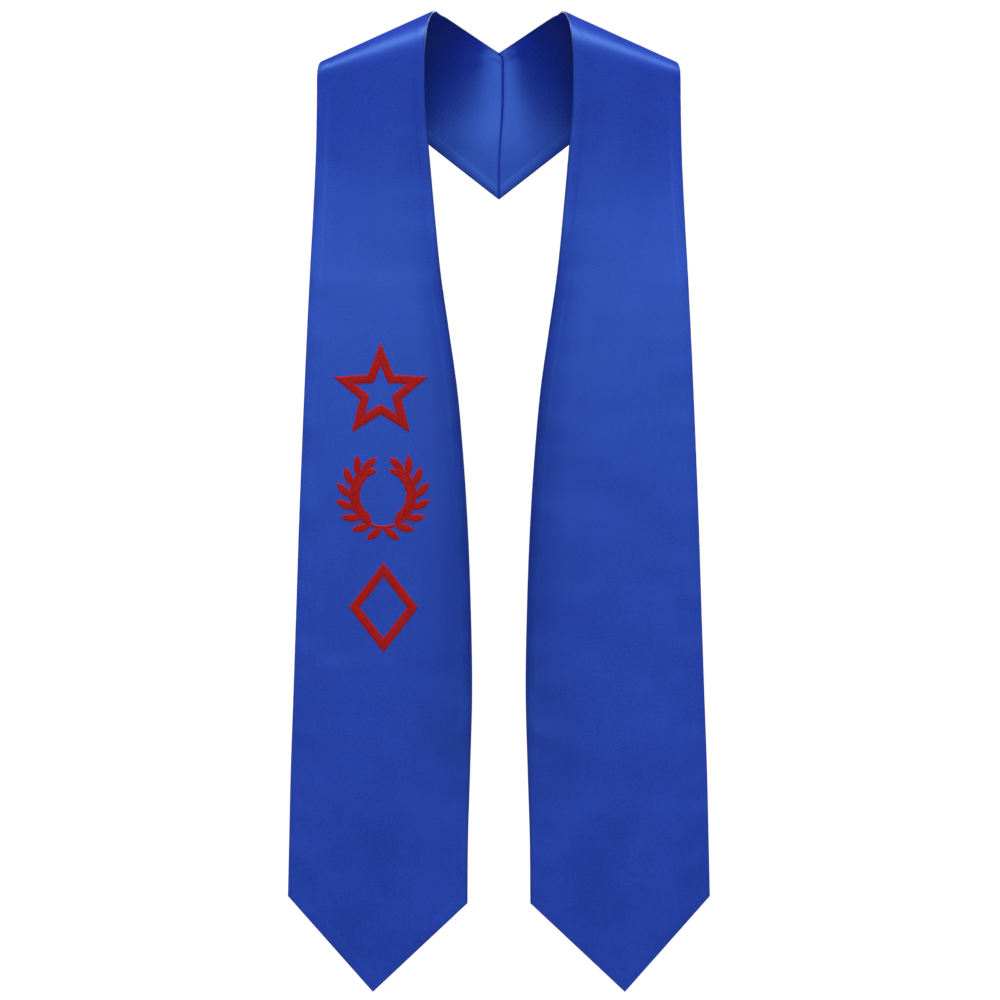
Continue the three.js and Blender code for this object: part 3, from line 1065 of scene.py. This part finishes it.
def satin(name, deep, bright, gloss, shine, tint, speckle):
    shader = Shader(name)
    cloth = shader.add("ShaderNodeUVMap", {"uv_map": "cloth"})
    edge = shader.add("ShaderNodeUVMap", {"uv_map": "inner_edge"})
    place = shader.add("ShaderNodeTexCoord", output=3)
    inwards = shader.add("ShaderNodeSeparateXYZ", {}, {0: edge})
    upwards = shader.add("ShaderNodeSeparateXYZ", {}, {0: edge}, output=1)

    blotch = shader.noise(place, BLOTCHES_PER_M, detail=4.0, roughness=0.6)
    grain = shader.noise(shader.stretched(cloth, GRAINS_PER_M), 1.0, detail=3.0, roughness=0.75)
    streak = shader.noise(shader.stretched(cloth, STREAKS_PER_M), 1.0, detail=3.0)
    floats = shader.noise(shader.stretched(cloth, FLOATS_PER_M), 1.0, detail=1.0)

    # Painted shade: a strip with a scalloped border along the inner edge of the hanging panels.
    scallop_noise = shader.noise(shader.stretched(edge, SHADE_SCALLOPS_PER_M), 1.0, detail=1.0)
    border = scallop_noise * (SHADE_SCALLOP[1] - SHADE_SCALLOP[0]) * 2 + (2 * SHADE_SCALLOP[0] - SHADE_SCALLOP[1])
    painted_scallop = shader.ramp(inwards, border, 0.0) * SHADE_SCALLOP_DARK
    painted_strip = shader.ramp(inwards, SHADE_STRIP_WIDTH, 0.0) * SHADE_STRIP_DARK + painted_scallop
    hanging = shader.ramp(upwards, *SHADE_STRIP_FOOT) * shader.ramp(upwards, *SHADE_STRIP_TOP)
    handled = shader.ramp(upwards, *HANDLED_FOOT) * shader.ramp(blotch, *HANDLED_BLOTCH)
    # A painted shadow line along the last millimetres of the inner edge.
    painted_edge_shade = shader.ramp(inwards, *PAINTED_EDGE_SHADE)
    # The painted shade and the darker blotches at the foot, as shares of the way to the shadow
    # colour.
    shade_and_blotches = painted_strip * hanging + handled * HANDLED_DARK + painted_edge_shade * PAINTED_EDGE_SHADE_DARK

    specks = (grain - MEAN) * (handled * HANDLED_SPECKLE + speckle)
    tone = blotch * BLOTCH_TONE + streak * STREAK_TONE + specks - TONE_SHIFT
    colour = shader.mix(tone, deep, bright)
    shadow = (*(SHADOW * channel for channel in deep[:3]), 1.0)
    rough = blotch * BLOTCH_ROUGH + streak * STREAK_ROUGH
    relief = floats * FLOAT_RELIEF + streak * STREAK_RELIEF + grain * GRAIN_RELIEF
    return shader.finish({
        "Base Color": shader.mix(shade_and_blotches, colour, shadow),
        "Roughness": rough + (gloss - MEAN * (BLOTCH_ROUGH + STREAK_ROUGH)),
        "Specular IOR Level": shine,
        "Specular Tint": tint,
        "Normal": shader.bump(relief, SATIN_RELIEF, SATIN_BUMP),
    })


satin_face = satin(
    "royal_blue_satin",
    deep=(0.0097, 0.0262, 0.228, 1),
    bright=(0.0137, 0.0362, 0.305, 1),
    gloss=0.365,
    shine=0.56,
    tint=(0.17, 0.46, 1, 1),
    speckle=3.2,
)
satin_lining = satin(
    "royal_blue_lining",
    deep=(0.0038, 0.0112, 0.162, 1),
    bright=(0.0062, 0.0170, 0.232, 1),
    gloss=0.32,
    shine=1.0,
    tint=(0.15, 0.39, 1, 1),
    speckle=9.0,
)
print("materials:", satin_face.name, satin_lining.name)

# %% [markdown]
# ## The embroidery thread
#
# Rayon thread is glossier than cotton but finely ribbed. Single threads are too fine to tell
# apart here, so each rib of the relief stands for a bundle of them. The ribs run across the
# stroke, and every few stitches take the light a little differently.

# %% Thread material
# At scale 1 a wave texture repeats every 0.314 m, so the ribs are 2.5 mm apart.
RIB_SCALE = 125.0
RIB_WANDER = {"Distortion": 0.6, "Detail": 1.0, "Detail Scale": 30.0}
STITCHES_PER_M = (520.0, 60.0, 1.0)
WEAR_PER_M = 90.0
STITCH_TONE = 1.1
WEAR_TONE = 0.6
THREAD_SHIFT = 0.4
THREAD_ROUGH = 0.42
STITCH_ROUGH = 0.15
RIB_RELIEF = 0.7
STITCH_RELIEF = 0.3
THREAD_RELIEF = 0.1 * MM
THREAD_BUMP = 0.6


def thread(name, deep, bright):
    shader = Shader(name)
    cloth = shader.add("ShaderNodeUVMap", {"uv_map": "cloth"})
    place = shader.add("ShaderNodeTexCoord", output=3)
    sockets = {"Vector": cloth, "Scale": RIB_SCALE, **RIB_WANDER}
    ribs = shader.add("ShaderNodeTexWave", {"wave_profile": "SIN"}, sockets)
    stitch = shader.noise(shader.stretched(cloth, STITCHES_PER_M), 1.0)
    worn = shader.noise(place, WEAR_PER_M)
    tone = stitch * STITCH_TONE + worn * WEAR_TONE - THREAD_SHIFT
    relief = ribs * RIB_RELIEF + stitch * STITCH_RELIEF
    return shader.finish({
        "Base Color": shader.mix(tone, deep, bright),
        "Roughness": stitch * STITCH_ROUGH + THREAD_ROUGH,
        "Specular IOR Level": 0.22,
        "Specular Tint": (1.0, 0.25, 0.22, 1.0),
        "Sheen Weight": 0.06,
        "Sheen Roughness": 0.4,
        "Sheen Tint": (1.0, 0.2, 0.16, 1.0),
        "Normal": shader.bump(relief, THREAD_RELIEF, THREAD_BUMP),
    })


red_thread = thread("red_thread", (0.190, 0.004, 0.004, 1), (0.285, 0.007, 0.007, 1))
print("material:", red_thread.name)

# %% [markdown]
# ## Dressing the frame
#
# Every new piece rides on the one body, stands for its solid, which is hidden, and takes its
# material. The size each band was cut at is printed. Laid flat, a band is as wide as its foot and
# as long as its middle line, and it narrows towards the nape.

# %% Ride and replace
BAND_LENGTH = float(ALONG[-1])
BAND_WIDTH = float(WIDTHS[0])
BAND_AREA = float(np.sum((ALONG[1:] - ALONG[:-1]) * (WIDTHS[1:] + WIDTHS[:-1]) / 2))


def dress(piece, node, slot, material):
    piece.data.materials.clear()
    piece.data.materials.append(material)
    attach(piece, "root")
    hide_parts(node)


for sheet, node, slot, material in (
    (right_face, "right_face", "satin_face", satin_face),
    (right_lining, "right_lining", "satin_lining", satin_lining),
    (left_face, "left_face", "satin_face", satin_face),
    (left_lining, "left_lining", "satin_lining", satin_lining),
):
    dress(sheet, node, slot, material)

dress(star, "star_embroidery", "red_thread", red_thread)
dress(wreath, "wreath_embroidery", "red_thread", red_thread)
dress(lozenge, "lozenge_embroidery", "red_thread", red_thread)
flat_size = f"{BAND_WIDTH / MM:.0f} by {BAND_LENGTH / MM:.0f} mm"
print("each band lies flat at", flat_size, "and covers", round(BAND_AREA, 4), "m2")

# %% [markdown]
# ## The studio
#
# The stole hangs as high over the floor as on a standing wearer. The pale floor fades out softly
# into a dome of opal plastic, which is lit from within until it is plain white. A photographer
# keeps such a background from lighting the subject by moving it far away. Here the dome's rays
# are simply kept for the camera, which works the same from every side. The floor does light the
# stole, but isn't mirrored in it. At a grazing angle this surface would mirror it like glass,
# which cloth doesn't do.

# %% Floor, dome and room
FLOOR_DROP = 1.45
FLOOR_SIZE = 8.0
FLOOR_FADES_FROM = 2.2
FLOOR_FADES_OUT = 3.6
FLOOR_GREY = (0.85, 0.85, 0.85, 1)
DOME_RADIUS = 5.2
DOME_LIGHT = 1.02
ROOM_LIGHT = 0.05
WHITE = (1, 1, 1, 1)
BLACK = (0, 0, 0, 1)


def stage(piece, material):
    bpy.ops.object.transform_apply(location=True, rotation=True, scale=True)
    piece.data.materials.append(material)


paper = Shader("pale_floor")
place = paper.add("ShaderNodeTexCoord", output=3)
from_middle = paper.add("ShaderNodeVectorMath", {"operation": "LENGTH"}, {0: place}, output=1)
pale_floor = paper.finish({
    "Base Color": FLOOR_GREY,
    "Roughness": 0.9,
    "Alpha": paper.ramp(from_middle, FLOOR_FADES_OUT, FLOOR_FADES_FROM),
})
opal_dome = Shader("opal_dome").finish({
    "Base Color": BLACK,
    "Specular IOR Level": 0.0,
    "Emission Color": WHITE,
    "Emission Strength": DOME_LIGHT,
})

bpy.ops.object.select_all(action="DESELECT")
bpy.ops.mesh.primitive_plane_add(size=FLOOR_SIZE, location=(0, 0, -FLOOR_DROP))
floor = new_piece("floor")
stage(floor, pale_floor)
floor.visible_glossy = False

bpy.ops.object.select_all(action="DESELECT")
bpy.ops.mesh.primitive_uv_sphere_add(segments=48, ring_count=24, radius=DOME_RADIUS)
dome = new_piece("dome")
stage(dome, opal_dome)
dome.visible_diffuse = False
dome.visible_glossy = False
dome.visible_shadow = False

world = bpy.data.worlds.new("studio")
bpy.context.scene.world = world
world.use_nodes = True
room = world.node_tree.nodes["Background"]
room.inputs["Color"].default_value = WHITE
room.inputs["Strength"].default_value = ROOM_LIGHT
bpy.context.scene.view_settings.view_transform = "Standard"
print("floor at", -FLOOR_DROP, "dome radius", DOME_RADIUS)

# %% [markdown]
# Satin is lit for its gloss. A long soft box hangs over the stole and a little in front of it. It
# grazes the hanging panels, and the bend over the shoulders mirrors it as a bright band. A smaller
# one stands over the camera and a little behind it. It gives the front its broad gloss, and it is
# what the middle of the collar mirrors, while the collar's sides turn away from both and stay
# dark. Two square lamps behind serve the views of the back. They stand as low as the shoulders,
# because from higher up they would also draw a pale line along the ridge, seen from the front.

# %% Lamps
# Each lamp: its place, what it points at, its width and height, its watts and its colour.
LAMPS = {
    "long_soft_box": ((0, -1.6, 3.2), (0, 0, -0.1), (4.6, 1.4), 345, (1, 1, 0.93)),
    "front_soft_box": ((0, -3.6, 0.38), (0, 0, -0.2), (1.4, 0.7), 39.5, (0.74, 0.80, 1)),
    "right_back_lamp": ((-2.4, 3.0, 0.1), (0, 0, -0.3), (1.2, 1.2), 95, (1, 1, 1)),
    "left_back_lamp": ((2.4, 3.0, 0.1), (0, 0, -0.3), (1.2, 1.2), 95, (1, 1, 1)),
}

for name, (place, target, size, watts, colour) in LAMPS.items():
    bpy.ops.object.light_add(type="AREA", location=place)
    lamp = bpy.context.object
    lamp.name = name
    lamp.data.shape = "RECTANGLE"
    lamp.data.size, lamp.data.size_y = size
    lamp.data.energy = watts
    lamp.data.color = colour
    lamp.rotation_euler = (Vector(target) - Vector(place)).to_track_quat("-Z", "Y").to_euler()

print("lamps:", ", ".join(LAMPS))

# %% [markdown]
# ## The camera
#
# The photograph looks straight at the stole from well away, so the camera is level and its lens
# is long. One millimetre of the front panels covers the same number of pixels as it does there.

# %% Camera
PHOTO_SIZE = 1000
METRES_PER_PIXEL = 0.81 * MM
CAMERA_DISTANCE = 3.2
MIRROR_PIXEL = 498.9
FOOT_PIXEL = 896
FOOT_Z = PANEL_TOP_OUTER_Z - FRONT_FALL

bpy.ops.object.camera_add(
    location=(
        (PHOTO_SIZE / 2 - MIRROR_PIXEL) * METRES_PER_PIXEL,
        -PANEL_DEPTH - CAMERA_DISTANCE,
        FOOT_Z + (FOOT_PIXEL - PHOTO_SIZE / 2) * METRES_PER_PIXEL,
    ),
    rotation=(math.pi / 2, 0, 0),
)
camera = bpy.context.object
camera.name = "camera"
camera.data.lens = camera.data.sensor_width * CAMERA_DISTANCE / (PHOTO_SIZE * METRES_PER_PIXEL)
bpy.context.scene.camera = camera
print("lens, mm:", round(camera.data.lens, 1))
